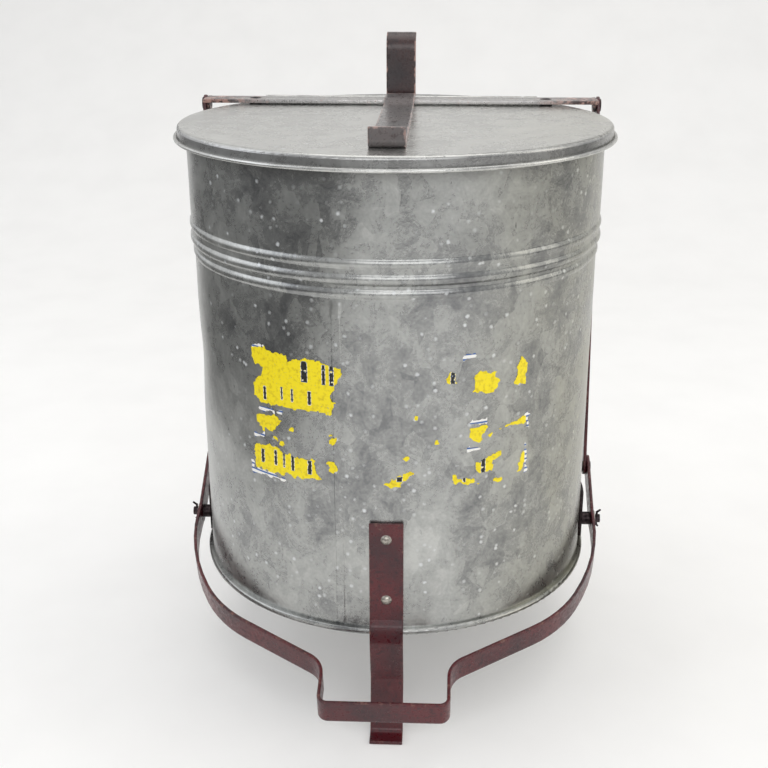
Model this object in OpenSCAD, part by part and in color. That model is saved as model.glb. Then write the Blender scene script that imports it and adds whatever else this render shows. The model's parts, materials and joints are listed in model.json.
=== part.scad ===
// Foot-operated waste can for oily rags: round sheet-metal can on three strap
// legs, hinged lid with a lift crossbar, and a foot hoop that works the lid
// through two side links. Millimetres, +Z up, floor at z = 0.

/* [Can] */
// Outer radius of the lower wall
can_r = 177; // [160:1:195]
// Height of the wall, from the bottom rim to the mouth
can_h = 399; // [360:1:440]
// Thickness of the sheet in wall, base and lid
sheet_t = 0.9; // [0.6:0.1:1.2]
// How far the upper wall stands outside the lower wall
wall_step = 1.8; // [1.2:0.1:2.4]
// Height of the middle rib above the bottom rim
rib_z = 307; // [240:1:325]
// Height that the middle rib stands out of the wall
rib_out = 3.1; // [2:0.1:3.6]
// Height that the two side ribs stand out of the wall
side_rib_out = 1.3; // [0.8:0.1:2]
// Distance from the middle rib to each side rib
rib_pitch = 12; // [10:0.5:20]
// Outer radius of the rolled wire bead at the mouth
mouth_bead_r = 1.9; // [1.5:0.1:2.2]
// Height of the base plate above the bottom rim
base_z = 10; // [7:0.5:12]
// Height of the rolled rim at the bottom of the wall
rim_h = 5.5; // [4.5:0.1:7]

/* [Legs] */
// Height of the bottom rim above the floor
leg_h = 97; // [86:1:112]
// Width of the leg, lid and stop straps
strap_w = 28; // [24:1:32]
// Thickness of the leg, lid and stop straps
strap_t = 3.2; // [2.6:0.1:4]
// How far a leg rises on the wall above the bottom rim
leg_rise = 104; // [80:1:130]
// Length of the flat foot at the bottom of a leg
foot_len = 10; // [8:1:24]

/* [Lid] */
// How far the lid's skirt stands outside the lower wall
lid_over = 8.5; // [7:0.5:28]
// Depth of the lid's skirt
skirt_h = 9; // [7:0.5:14]
// Radius of the rolled bead on the skirt
lid_bead_r = 1.7; // [1.2:0.1:2.2]
// Distance from the can's axis to the lid's hinge line
hinge_y = 124; // [112:1:132]
// Outer radius of the hinge barrel
barrel_r = 2.6; // [2.4:0.1:3.2]
// Radius of the hinge pin
hinge_pin_r = 1.5; // [1:0.1:1.6]
// Length of the hinge
hinge_len = 260; // [200:4:272]
// Number of hinge knuckles
knuckles = 8; // [6:2:12]
// Thickness of the hinge leaves
leaf_t = 1.5; // [1.2:0.1:2]
// Distance from the can's axis to the front face of the lid's finger lip
lip_y = 154; // [110:1:160]
// Height of the finger lip above the lid
lip_h = 16; // [10:1:22]
// Width of the lift crossbar
crossbar_w = 28; // [24:1:32]
// Height of the lid stop above the lid
stop_h = 58; // [40:1:90]

/* [Foot lever] */
// Length of the pedal, from the pivot to its front face
pedal_reach = 243; // [238:1:260]
// Width of the pedal bar, outside
pedal_w = 108; // [90:1:130]
// Width of the hoop's strap
hoop_w = 22; // [18:1:26]
// Thickness of the hoop's strap
hoop_t = 3; // [2.6:0.1:3.6]
// Downward tilt of the hoop in front of the pivot
hoop_tilt = 13.5; // [9:0.5:14]
// Gap between the hoop and the widest part of the wall at the pivots
hoop_gap = 11.8; // [11.4:0.1:16]
// Height of the lever's pivot above the bottom rim
pivot_z = 20; // [19:1:30]
// Crank pin behind the pivot
crank_y = 50; // [42:1:56]
// Crank pin above the pivot
crank_z = 32; // [24:1:40]
// Radius of the crank pins and of the crossbar pins
link_pin_r = 3; // [2.4:0.1:3.6]
// Radius of the pivot pins
pivot_r = 4; // [3.2:0.1:5]
// Distance from the hinge line to the crossbar pins
ear_reach = 9; // [8.5:0.1:11]
// Angle of the crossbar pins below the hinge line
ear_angle = 30; // [24:1:34]
// Width of the lift links
link_w = 16; // [14:1:22]
// Thickness of the lift links
link_t = 3; // [2.6:0.1:3.4]

/* [Fasteners and fits] */
// Diameter of the rivet heads on the legs
rivet_d = 9; // [7:0.5:11]
// Radial clearance of a pin that turns
fit = 0.08; // [0.05:0.01:0.1]
// Radial play of the crossbar pins in the links' upper holes
top_play = 1.15; // [1:0.05:1.3]
// Side gap between parts that move past each other
side_gap = 0.3; // [0.2:0.05:0.5]

/* [Hidden] */
$fn = 96;

// Shared places, with the can's axis at x = y = 0 and the bottom rim at z = 0
upper_r = can_r + wall_step;
bead_pos_r = upper_r + mouth_bead_r;
mouth_out_r = bead_pos_r + mouth_bead_r;
lid_r = can_r + lid_over;
lid_gap = 0.3;
lid_under = can_h + lid_gap;
lid_top = lid_under + sheet_t;
hinge_z = lid_top + barrel_r;
plate_gap = 6;
lid_chord_y = hinge_y - plate_gap;
rear_chord_y = hinge_y + plate_gap;
skirt_end_y = hinge_y - 34;
rim_out_r = can_r + 4;

// Straps and pins in layers along X, from the can outwards
bracket_t = 3.2;
bracket_out = can_r + bracket_t;
hoop_in = can_r + hoop_gap;
hoop_out = hoop_in + hoop_t;
link_out = hoop_in - side_gap;
link_in = link_out - link_t;
ear_out = link_in - side_gap;
ear_t = 3;
ear_in = ear_out - ear_t;
washer_t = 1.2;
washer_in = hoop_out + side_gap;
cotter_x = washer_in + washer_t + 2.2;
pin_end = cotter_x + 3;

// Linkage points in the side view [y, z]
pivot = [0, pivot_z];
crank = pivot + [crank_y, crank_z];
ear = [hinge_y - ear_reach * cos(ear_angle), hinge_z - ear_reach * sin(ear_angle)];

// Crossbar and lid strap
crossbar_z = lid_top + leaf_t;
crossbar_back = hinge_y - barrel_r - 1.7;
crossbar_front = crossbar_back - crossbar_w;
crossbar_mid = crossbar_back - crossbar_w / 2;
crossbar_rivet_x = hinge_len / 2 + 7;
bar_top = crossbar_z + strap_t;

// The whole object's origin: centre of its bounding box, on the floor
reach_front = pedal_reach * cos(hoop_tilt) + hoop_w / 2 * sin(hoop_tilt);
reach_back = mouth_out_r + sheet_t;
axis_y = (reach_front - reach_back) / 2;

zinc = [0.62, 0.63, 0.62];
zinc_dark = [0.5, 0.5, 0.5];
red_paint = [0.42, 0.13, 0.15];
dark_paint = [0.2, 0.14, 0.13];
steel = [0.7, 0.69, 0.66];
black_steel = [0.16, 0.13, 0.15];

// Moves a sub-part from the can's own place into the object's frame
module on_can() translate([0, axis_y, leg_h]) children();

// Draws a side-view outline [y, z] as a plate from x0 to x1
module plate_x(x0, x1) translate([x0, 0, 0]) rotate([90, 0, 90])
    linear_extrude(height = x1 - x0) children();

// A cylinder along X through the side-view point p
module rod_x(x0, x1, p, r) translate([x0, p[0], p[1]]) rotate([0, 90, 0])
    cylinder(h = x1 - x0, r = r);

// The same on the other side of the can
module other_side() mirror([1, 0, 0]) children();

// ---- Bent straps -----------------------------------------------------
// A path is a list of moves: [length, 0] goes straight, [radius, angle]
// with an angle turns left by it (or right, when it is negative).
arc_step = 7.5;
function move_count(m) = m[1] == 0 ? 1 : ceil(abs(m[1]) / arc_step);
function ahead(s, m, f) =
    m[1] == 0
        ? [s[0] + m[0] * f * cos(s[2]), s[1] + m[0] * f * sin(s[2]), s[2]]
        : let (side = sign(m[1]), a = s[2] + m[1] * f)
            [s[0] + side * m[0] * (sin(a) - sin(s[2])),
             s[1] - side * m[0] * (cos(a) - cos(s[2])),
             a];
function walk(s, moves, i = 0) =
    i >= len(moves) ? [s]
    : let (m = moves[i], n = move_count(m))
        concat([for (k = [0:n - 1]) ahead(s, m, k / n)], walk(ahead(s, m, 1), moves, i + 1));
function beside(states, d) =
    [for (s = states) [s[0] - d * sin(s[2]), s[1] + d * cos(s[2])]];
function flipped(pts) = [for (i = [len(pts) - 1:-1:0]) pts[i]];

// Outline of a strap whose right-hand face follows the path
module strap_outline(start, moves, t) {
    states = walk(start, moves);
    polygon(concat(beside(states, t), flipped(beside(states, 0))));
}

// ---- Can ---------------------------------------------------------------
// A rolled rib: part of a ring that stands out of a wall of radius r
module rib_2d(r, z, out, half_w) {
    rho = (half_w * half_w + out * out) / (2 * out);
    translate([r + out - rho, z]) circle(r = rho);
}
module rib_hollow_2d(r, z, out, half_w) {
    rho = (half_w * half_w + out * out) / (2 * out);
    translate([r + out - rho, z]) circle(r = rho - sheet_t);
}
rib_half = 5;
side_rib_half = 3.6;
module all_ribs_2d(hollow) {
    ribs = [[can_r, rib_z - rib_pitch, side_rib_out, side_rib_half],
            [can_r, rib_z, rib_out, rib_half],
            [upper_r, rib_z + rib_pitch, side_rib_out, side_rib_half]];
    for (b = ribs)
        if (hollow) rib_hollow_2d(b[0], b[1], b[2], b[3]);
        else rib_2d(b[0], b[1], b[2], b[3]);
}

// Rolled wall with its three ribs and the lock seam down the front
seam_w = 7;
seam_angle = -102.6;
module wall_section() difference() {
    union() {
        translate([can_r - sheet_t, 0]) square([sheet_t, rib_z]);
        translate([upper_r - sheet_t, rib_z]) square([sheet_t, can_h - rib_z]);
        intersection() {
            all_ribs_2d(false);
            translate([can_r - sheet_t, 0]) square([20, can_h]);
        }
    }
    all_ribs_2d(true);
}
module body_wall() color(zinc) on_can() {
    difference() {
        rotate_extrude() wall_section();
        rivet_places() leg_rivet_hole();
        for (turn = [90, -90]) rotate([0, 0, turn]) {
            wall_hole(pivot[1], pivot_r);
            wall_hole(bracket_rivet_z, rivet_shank_r);
        }
    }
    seam_half = seam_w / 2 / can_r * 180 / PI;
    seam_bottom = rim_h + 1;
    seam_top = rib_z - rib_pitch - side_rib_half - 3;
    rotate([0, 0, seam_angle - seam_half]) rotate_extrude(angle = 2 * seam_half)
        translate([can_r - sheet_t / 2, seam_bottom])
            square([sheet_t / 2 + 0.5, seam_top - seam_bottom]);
}

module bottom_rim() color(zinc_dark) on_can() rotate_extrude() {
    round_r = 2;
    translate([can_r, 0]) square([round_r, rim_h]);
    translate([can_r + round_r, round_r]) circle(r = round_r);
    translate([can_r + round_r, rim_h - round_r]) circle(r = round_r);
    translate([can_r + round_r, round_r]) square([round_r, rim_h - 2 * round_r]);
}

module base_plate() color(zinc_dark) on_can() rotate_extrude() {
    base_r = can_r - sheet_t;
    translate([0, base_z - sheet_t]) square([base_r, sheet_t]);
    translate([base_r - sheet_t, 0.5]) square([sheet_t, base_z - 0.5]);
}

module mouth_bead() color(zinc) on_can() rotate_extrude()
    translate([bead_pos_r, can_h - mouth_bead_r - 0.1]) difference() {
        circle(r = mouth_bead_r);
        circle(r = mouth_bead_r - sheet_t);
    }

// Everything on one side of a chord across the can
big = 500;
module behind(y) translate([-big, y, -big]) cube([2 * big, big, 2 * big]);
module before(y) translate([-big, y - 2 * big, -big]) cube([2 * big, 2 * big, 2 * big]);

rear_flange = 9;
module rear_top_plate() color(zinc) on_can() difference() {
    intersection() {
        translate([0, 0, can_h]) rotate_extrude() {
            square([mouth_out_r + sheet_t, sheet_t]);
            translate([mouth_out_r, -rear_flange]) square([sheet_t, rear_flange + sheet_t]);
        }
        behind(rear_chord_y);
    }
    stop_rivet_holes();
}

// ---- Hinge ---------------------------------------------------------------
knuckle_len = hinge_len / knuckles;
// Leaf and knuckles; first = 0 or 1 picks which knuckles belong to the leaf,
// and dir = 1 lays the leaf behind the pin or -1 in front of it
module hinge_half(first, dir, leaf_depth, leaf_z) {
    inner = plate_gap - 2.5;
    near_y = dir > 0 ? hinge_y + inner : hinge_y - inner - leaf_depth;
    translate([-hinge_len / 2, near_y, leaf_z]) cube([hinge_len, leaf_depth, leaf_t]);
    for (k = [first:2:knuckles - 1]) {
        x0 = -hinge_len / 2 + k * knuckle_len + side_gap / 2;
        x1 = x0 + knuckle_len - side_gap;
        tongue_y = dir > 0 ? hinge_y : hinge_y - inner - 1;
        difference() {
            union() {
                rod_x(x0, x1, [hinge_y, hinge_z], barrel_r);
                translate([x0, tongue_y, hinge_z - barrel_r])
                    cube([x1 - x0, inner + 1, barrel_r * 0.55]);
            }
            rod_x(x0 - 1, x1 + 1, [hinge_y, hinge_z], hinge_pin_r + fit);
        }
    }
}
leaf_depth = 20;
module hinge_body_leaf() color(zinc) on_can() difference() {
    hinge_half(0, 1, leaf_depth, can_h + sheet_t);
    stop_rivet_holes();
}
module hinge_lid_leaf() color(zinc) on_can() difference() {
    hinge_half(1, -1, leaf_depth - 2, lid_top);
    strap_rivet_holes();
}
module hinge_pin() color(steel) on_can()
    rod_x(-hinge_len / 2 - 1, hinge_len / 2 + 1, [hinge_y, hinge_z], hinge_pin_r);

// ---- Lid stop: an upright strap behind the hinge, its top curled back ------
stop_y = hinge_y + barrel_r + 5;
stop_base = can_h + sheet_t + leaf_t;
stop_flange = plate_gap + leaf_depth - 8;
stop_curl_r = 12;
stop_bend_r = 4;
stop_curl = 115;
module lid_stop() color(dark_paint) on_can() difference() {
    plate_x(-strap_w / 2, strap_w / 2)
        strap_outline([stop_y + stop_flange, stop_base + strap_t, 180],
            [[stop_flange - stop_bend_r, 0], [stop_bend_r, -90],
             [stop_h - stop_bend_r - stop_curl_r - strap_t, 0], [stop_curl_r, -stop_curl]],
            strap_t);
    stop_rivet_holes();
}

rivet_shank_r = 2.5;
// A rivet along +Z through the stack from z0 to z1, with a domed head on top
module rivet(z0, z1, head_r, head_h, tail_h) {
    dome_r = (head_r * head_r + head_h * head_h) / (2 * head_h);
    translate([0, 0, z0]) cylinder(h = z1 - z0, r = rivet_shank_r);
    translate([0, 0, z0 - tail_h]) cylinder(h = tail_h, r = head_r * 0.85);
    intersection() {
        translate([0, 0, z1 + head_h - dome_r]) sphere(r = dome_r);
        translate([0, 0, z1]) cylinder(h = head_h + 1, r = head_r);
    }
}
stop_rivet_x = 8;
stop_rivet_y = stop_y + stop_flange - 7;
module stop_rivet_holes() for (x = [-stop_rivet_x, stop_rivet_x])
    translate([x, stop_rivet_y, can_h - 5]) cylinder(h = 20, r = rivet_shank_r);
module lid_stop_rivets() color(black_steel) on_can() for (x = [-stop_rivet_x, stop_rivet_x])
    translate([x, stop_rivet_y, 0]) rivet(can_h, stop_base + strap_t, 4, 1.8, 1);

// ---- Legs ----------------------------------------------------------------
// A leg at the can's front: down the wall, out over the rim, bent back in
// under it and out again to a flat foot
rim_jog = rim_out_r - can_r + 0.3;
jog_angle = 40;
jog_r = 4;
jog_run = rim_jog - 2 * jog_r * (1 - cos(jog_angle));
jog_len = jog_run / sin(jog_angle);
jog_drop = 2 * jog_r * sin(jog_angle) + jog_run / tan(jog_angle);
tuck_angle = 14;
tuck_r = 12;
foot_r = 8;
rim_clear = 1.5;
over_rim = rim_h + rim_clear + 7;
// What is left of the height for the two slanted stretches of the shin
shin = (leg_h + rim_h + rim_clear - over_rim - 2 * tuck_r * sin(tuck_angle)
        - foot_r * (1 - sin(tuck_angle))) / (2 * cos(tuck_angle));
module leg() difference() {
    translate([-strap_w / 2, 0, 0]) mirror([0, 1, 0])
        rotate([90, 0, 90]) linear_extrude(height = strap_w)
            strap_outline([can_r, leg_rise, -90],
                [[leg_rise - rim_h - rim_clear - jog_drop, 0],
                 [jog_r, jog_angle], [jog_len, 0], [jog_r, -jog_angle],
                 [over_rim - tuck_r * sin(tuck_angle), 0],
                 [tuck_r, -tuck_angle], [shin, 0], [tuck_r, 2 * tuck_angle], [shin, 0],
                 [foot_r, 90 - tuck_angle], [foot_len, 0]], strap_t);
    for (z = leg_rivet_z) wall_hole(z, rivet_shank_r);
}

rear_leg_turn = 120;
module front_leg() color(red_paint) on_can() leg();
module rear_leg_left() color(red_paint) on_can() rotate([0, 0, -rear_leg_turn]) leg();
module rear_leg_right() color(red_paint) on_can() rotate([0, 0, rear_leg_turn]) leg();
leg_rivet_z = [34, 90];
// Flat heads inside the can stand this far off its curved wall
tail_gap = 0.2;
module rivet_places() for (a = [0, -rear_leg_turn, rear_leg_turn], z = leg_rivet_z)
    rotate([0, 0, a]) translate([0, 0, z]) children();
// A hole through the front of the wall, at height z
module wall_hole(z, r) translate([0, 10 - can_r, z]) rotate([90, 0, 0]) cylinder(h = 20, r = r);
module leg_rivet_hole() wall_hole(0, rivet_shank_r);
module leg_rivets() color(steel) on_can() rivet_places() rotate([90, 0, 0])
    rivet(can_r - sheet_t - tail_gap, can_r + strap_t, rivet_d / 2, 2.2, 1.2);

// ---- Lever pivots on the sides of the can ------------------------------------
bracket_w = 28;
bracket_z0 = rim_h + 2.5;
bracket_h = 46;
bracket_rivet_z = bracket_z0 + bracket_h - 9;
module pivot_bracket(turn) on_can() rotate([0, 0, turn]) difference() {
    half_angle = bracket_w / 2 / can_r * 180 / PI;
    rotate([0, 0, -half_angle]) rotate_extrude(angle = 2 * half_angle)
        translate([can_r, bracket_z0]) square([bracket_t, bracket_h]);
    rod_x(can_r - 5, bracket_out + 5, pivot, pivot_r);
    rod_x(can_r - 5, bracket_out + 5, [0, bracket_rivet_z], rivet_shank_r);
}
module pivot_bracket_right() color(black_steel) pivot_bracket(0);
module pivot_bracket_left() color(black_steel) pivot_bracket(180);
module bracket_rivets() color(black_steel) on_can() for (turn = [90, -90])
    rotate([0, 0, turn]) translate([0, 0, bracket_rivet_z]) rotate([90, 0, 0])
        rivet(can_r - sheet_t - tail_gap, bracket_out, 3.5, 1.2, 1.2);

cotter_r = 1.1;
// Headed pin through wall, bracket, spacer, hoop and washer, cross-drilled at its end
module pivot_pin() difference() {
    union() {
        rod_x(can_r - sheet_t - 2, can_r - sheet_t - tail_gap, pivot, pivot_r + 3);
        rod_x(can_r - sheet_t - 1, pin_end, pivot, pivot_r);
    }
    translate([cotter_x, pivot[0], pivot[1] - 10]) cylinder(h = 20, r = cotter_r + 0.1);
}
module pivot_pin_right() color(black_steel) on_can() pivot_pin();
module pivot_pin_left() color(black_steel) on_can() other_side() pivot_pin();

module sleeve(x0, x1, p, r_out, r_in) difference() {
    rod_x(x0, x1, p, r_out);
    rod_x(x0 - 1, x1 + 1, p, r_in);
}
module both_sides() { children(); other_side() children(); }
module pivot_spacers() color(black_steel) on_can() both_sides()
    sleeve(bracket_out, hoop_in - side_gap, pivot, pivot_r + 2.2, pivot_r);
module pivot_washers() color(steel) on_can() both_sides()
    sleeve(washer_in, washer_in + washer_t, pivot, pivot_r + 3.5, pivot_r);

// Split pin: two half-round legs through the pin, spread above and below it
cotter_leg = 5;
module cotter_pin() translate([cotter_x, pivot[0], pivot[1]]) {
    reach = pivot_r + 2.6;
    translate([0, 0, -reach]) cylinder(h = 2 * reach, r = cotter_r);
    for (s = [1, -1]) mirror([0, 0, s > 0 ? 0 : 1]) translate([0, 0, reach]) {
        sphere(r = cotter_r);
        rotate([s * 25, 38, 0]) cylinder(h = cotter_leg * (s > 0 ? 1 : 0.6), r = cotter_r * 0.9);
    }
}
module cotter_pin_right() color(black_steel) on_can() cotter_pin();
module cotter_pin_left() color(black_steel) on_can() other_side() cotter_pin();

// ---- Lid -------------------------------------------------------------------
lid_edge_r = 3;
// Section of the lid: flat plate, rounded edge and skirt
module lid_section() {
    corner = lid_r - lid_edge_r;
    skirt_bottom = lid_top - lid_edge_r - skirt_h;
    translate([0, lid_under]) square([corner, sheet_t]);
    intersection() {
        translate([corner, lid_top - lid_edge_r]) difference() {
            circle(r = lid_edge_r);
            circle(r = lid_edge_r - sheet_t);
        }
        translate([corner, lid_top - lid_edge_r]) square([lid_edge_r, lid_edge_r]);
    }
    translate([lid_r - sheet_t, skirt_bottom]) square([sheet_t, skirt_h]);
}
module lid_pan() color(zinc) on_can() difference() {
    intersection() {
        rotate_extrude() lid_section();
        before(lid_chord_y);
    }
    // the skirt stops short of the hinge, so that it clears the mouth as it swings
    intersection() {
        behind(skirt_end_y);
        translate([-big, -big, lid_under - big]) cube([2 * big, 2 * big, big]);
    }
    crossbar_rivet_holes();
    strap_rivet_holes();
}
bead_end = asin(skirt_end_y / (lid_r + lid_bead_r));
module lid_bead() color(zinc) on_can() rotate([0, 0, 180 - bead_end])
    rotate_extrude(angle = 180 + 2 * bead_end)
        translate([lid_r + lid_bead_r, lid_top - lid_edge_r - skirt_h + lid_bead_r])
            circle(r = lid_bead_r);

module crossbar_rivet_holes() for (x = [-crossbar_rivet_x, crossbar_rivet_x])
    translate([x, crossbar_mid, lid_under - 5]) cylinder(h = 20, r = rivet_shank_r);
module strap_rivet_holes() for (y = lid_strap_rivet_y)
    translate([0, y, lid_under - 5]) cylinder(h = 20, r = rivet_shank_r);

ear_w = 13;
module lift_crossbar() color(dark_paint) on_can() difference() {
    union() {
        translate([-ear_out, crossbar_front, crossbar_z])
            cube([2 * ear_out, crossbar_w, strap_t]);
        both_sides() plate_x(ear_in, ear_out) {
            translate(ear) circle(r = ear_w / 2);
            translate([ear[0] - ear_w / 2, ear[1]]) square([ear_w, bar_top - ear[1]]);
        }
    }
    crossbar_rivet_holes();
    strap_rivet_holes();
    both_sides() rod_x(ear_in - 1, ear_out + 1, ear, link_pin_r);
}
module crossbar_spacers() color(black_steel) on_can() for (x = [-crossbar_rivet_x, crossbar_rivet_x])
    translate([x, crossbar_mid, lid_top]) difference() {
        cylinder(h = leaf_t, r = 6);
        translate([0, 0, -1]) cylinder(h = leaf_t + 2, r = rivet_shank_r);
    }
module crossbar_rivets() color(black_steel) on_can() for (x = [-crossbar_rivet_x, crossbar_rivet_x])
    translate([x, crossbar_mid, 0]) rivet(lid_under, bar_top, 5.5, 1, 1.2);

// Strap on the lid: finger lip at the front, joggled over the crossbar
lip_r = 3;
climb = bar_top - lid_top;
climb_angle = 18;
climb_r = 6;
climb_run = (climb - 2 * climb_r * (1 - cos(climb_angle))) / sin(climb_angle);
climb_len = climb_run * cos(climb_angle) + 2 * climb_r * sin(climb_angle);
climb_gap = 3;
module lid_strap() color(dark_paint) on_can() difference() {
    plate_x(-strap_w / 2, strap_w / 2)
        strap_outline([-lip_y, lid_top + lip_h, -90],
            [[lip_h - lip_r - strap_t, 0], [lip_r + strap_t, 90],
             [lip_y + crossbar_front - climb_gap - climb_len - lip_r - strap_t, 0],
             [climb_r, climb_angle], [climb_run, 0], [climb_r, -climb_angle],
             [crossbar_w + climb_gap, 0]], strap_t);
    strap_rivet_holes();
}
lid_strap_rivet_y = [-lip_y + 22, -lip_y / 4, crossbar_mid];
module lid_strap_rivets() color(dark_paint) on_can() for (y = lid_strap_rivet_y) {
    top = y > crossbar_front ? bar_top + strap_t : lid_top + strap_t;
    translate([0, y, lid_under - 1.2]) cylinder(h = 1.2, r = 4);
    translate([0, y, lid_under]) cylinder(h = top - lid_under + 0.2, r = rivet_shank_r);
}

// Pin fixed in the crossbar's ear; the link's upper hole has play on it
module crossbar_pin() {
    rod_x(ear_in - 0.3, link_out + side_gap, ear, link_pin_r);
    rod_x(link_out + side_gap, link_out + side_gap + 1, ear, link_pin_r + top_play + 1.6);
}
module crossbar_pin_right() color(black_steel) on_can() crossbar_pin();
module crossbar_pin_left() color(black_steel) on_can() other_side() crossbar_pin();

// ---- Foot lever ----------------------------------------------------------------
// Half of the hoop's outer face in its own plane, from the pivot to the pedal's corner.
// The crank arm and its eyes stand a little proud of the strap on both faces.
eye_rise = 0.1;
strap_face = hoop_out - eye_rise;
side_run = 14;
side_turn = 29.3;
side_r = 205;
slant_turn = 58.5;
flank_r = 116;
neck_r = 22;
pedal_r = 9;
slant = (strap_face - pedal_w / 2 - side_r * (1 - cos(side_turn))
         - flank_r * (cos(side_turn) - cos(slant_turn))
         - neck_r * (1 - cos(slant_turn))) / sin(slant_turn);
neck_run = pedal_reach - side_run - side_r * sin(side_turn)
           - flank_r * (sin(slant_turn) - sin(side_turn))
           - slant * cos(slant_turn) - neck_r * sin(slant_turn) - pedal_r;
function other_half(pts) = [for (p = pts) [-p[0], p[1]]];
module hoop_2d() {
    states = walk([strap_face, 0, -90],
        [[side_run, 0], [side_r, -side_turn], [flank_r, side_turn - slant_turn],
         [slant, 0], [neck_r, slant_turn], [neck_run, 0], [pedal_r, -90]]);
    outer = beside(states, 0);
    inner = beside(states, 2 * eye_rise - hoop_t);
    polygon(concat(outer, flipped(other_half(outer)), other_half(inner), flipped(inner)));
}
// The eyes at the pivot and at the crank pin are a little wider than the strap
eye_r = hoop_w / 2 + 0.6;
module crank_arm() plate_x(hoop_in, hoop_out) {
    translate(pivot) circle(r = eye_r);
    translate(crank) circle(r = eye_r);
    translate(pivot) rotate(atan2(crank_z, crank_y))
        translate([0, -hoop_w / 2]) square([norm([crank_y, crank_z]), hoop_w]);
}
module foot_hoop() color(red_paint) on_can() difference() {
    union() {
        both_sides() crank_arm();
        translate([0, pivot[0], pivot[1]]) rotate([hoop_tilt, 0, 0])
            translate([0, 0, -hoop_w / 2]) linear_extrude(height = hoop_w) hoop_2d();
    }
    both_sides() rod_x(hoop_in - 1, hoop_out + 1, pivot, pivot_r + fit);
    both_sides() rod_x(hoop_in - 1, hoop_out + 1, crank, link_pin_r);
}

// Crank pin riveted in the hoop's rear arm; the link turns on it
module crank_pin() {
    rod_x(hoop_out, hoop_out + 1.4, crank, link_pin_r + 2.4);
    rod_x(link_in - side_gap, hoop_out, crank, link_pin_r);
    rod_x(link_in - side_gap - 1.6, link_in - side_gap, crank, link_pin_r + 2.4);
}
module crank_pin_right() color(black_steel) on_can() crank_pin();
module crank_pin_left() color(black_steel) on_can() other_side() crank_pin();

module lift_link() difference() {
    span = ear - crank;
    plate_x(link_in, link_out) {
        translate(crank) circle(r = link_w / 2);
        translate(ear) circle(r = link_w / 2);
        translate(crank) rotate(atan2(span[1], span[0]))
            translate([0, -link_w / 2]) square([norm(span), link_w]);
    }
    rod_x(link_in - 1, link_out + 1, crank, link_pin_r + fit);
    rod_x(link_in - 1, link_out + 1, ear, link_pin_r + top_play);
}
module lift_link_right() color(red_paint) on_can() lift_link();
module lift_link_left() color(red_paint) on_can() other_side() lift_link();

body_wall();
bottom_rim();
base_plate();
mouth_bead();
rear_top_plate();
hinge_body_leaf();
hinge_pin();
lid_stop();
lid_stop_rivets();
front_leg();
rear_leg_left();
rear_leg_right();
leg_rivets();
pivot_bracket_left();
pivot_bracket_right();
bracket_rivets();
pivot_pin_left();
pivot_pin_right();
pivot_spacers();
pivot_washers();
cotter_pin_left();
cotter_pin_right();
lid_pan();
lid_bead();
hinge_lid_leaf();
lift_crossbar();
crossbar_spacers();
crossbar_rivets();
lid_strap();
lid_strap_rivets();
crossbar_pin_left();
crossbar_pin_right();
foot_hoop();
crank_pin_left();
crank_pin_right();
lift_link_left();
lift_link_right();
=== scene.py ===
# %% [markdown]
# # A foot-operated waste can for oily rags
# The can is a rolled sheet-steel drum, hot-dip galvanised, on three bent strap
# legs. A flat half-moon lid is hinged near the back. A painted strap hoop runs
# round the front as a pedal, and two side links carry its push up to a crossbar
# on the lid. This lesson builds the looks around a finished CAD frame: plain
# turned metal keeps its CAD shape and gets a material, and whatever a hand or a
# hammer would have marked is built again as a mesh.

# %% Set-up
import json
import math

import bmesh
import bpy
import numpy as np
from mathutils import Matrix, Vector, noise

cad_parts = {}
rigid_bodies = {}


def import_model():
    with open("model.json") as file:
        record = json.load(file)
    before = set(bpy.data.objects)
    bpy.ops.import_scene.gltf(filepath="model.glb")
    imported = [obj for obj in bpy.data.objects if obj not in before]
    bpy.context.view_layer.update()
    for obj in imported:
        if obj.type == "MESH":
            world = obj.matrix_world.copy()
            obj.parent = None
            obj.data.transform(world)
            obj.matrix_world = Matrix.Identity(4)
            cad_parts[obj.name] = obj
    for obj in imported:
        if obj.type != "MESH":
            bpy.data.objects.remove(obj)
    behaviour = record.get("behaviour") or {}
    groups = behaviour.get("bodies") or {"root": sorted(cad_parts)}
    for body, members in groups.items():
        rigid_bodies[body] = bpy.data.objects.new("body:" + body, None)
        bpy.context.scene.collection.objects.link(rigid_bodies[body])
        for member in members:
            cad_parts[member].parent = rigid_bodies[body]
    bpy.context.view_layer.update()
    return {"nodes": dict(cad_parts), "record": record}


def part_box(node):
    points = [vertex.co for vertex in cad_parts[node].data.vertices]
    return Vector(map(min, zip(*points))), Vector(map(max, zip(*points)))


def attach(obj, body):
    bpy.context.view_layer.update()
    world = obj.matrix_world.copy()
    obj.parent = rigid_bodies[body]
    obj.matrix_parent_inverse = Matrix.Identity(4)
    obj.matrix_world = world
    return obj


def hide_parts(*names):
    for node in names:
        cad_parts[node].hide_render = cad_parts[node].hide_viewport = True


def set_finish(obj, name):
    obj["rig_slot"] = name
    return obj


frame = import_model()
MM = 0.001
print("CAD nodes:", len(frame["nodes"]))

# %% [markdown]
# ## Where the can stands
# Everything round on the can shares one upright axis. Its place is read from
# the wall's own box, so no number has to be typed twice. All heights below are
# counted from the bottom rim, because that is how a sheet-metal shop would
# measure the drum.

# %% The can's axis and rim
wall_low, wall_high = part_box("body_wall")
AXIS_Y = (wall_low.y + wall_high.y) / 2
RIM_Z = wall_low.z
CAN_H = (wall_high.z - wall_low.z) / MM
CAN_R = 177.0
SHEET = 0.9
print("axis y %.1f mm, rim %.1f mm above the floor, wall %.0f mm high"
      % (AXIS_Y / MM, RIM_Z / MM, CAN_H))


def place(x, y, z):
    """Millimetres from the can's axis and bottom rim, as a point in the frame."""
    return Vector((x * MM, AXIS_Y + y * MM, RIM_Z + z * MM))


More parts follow.
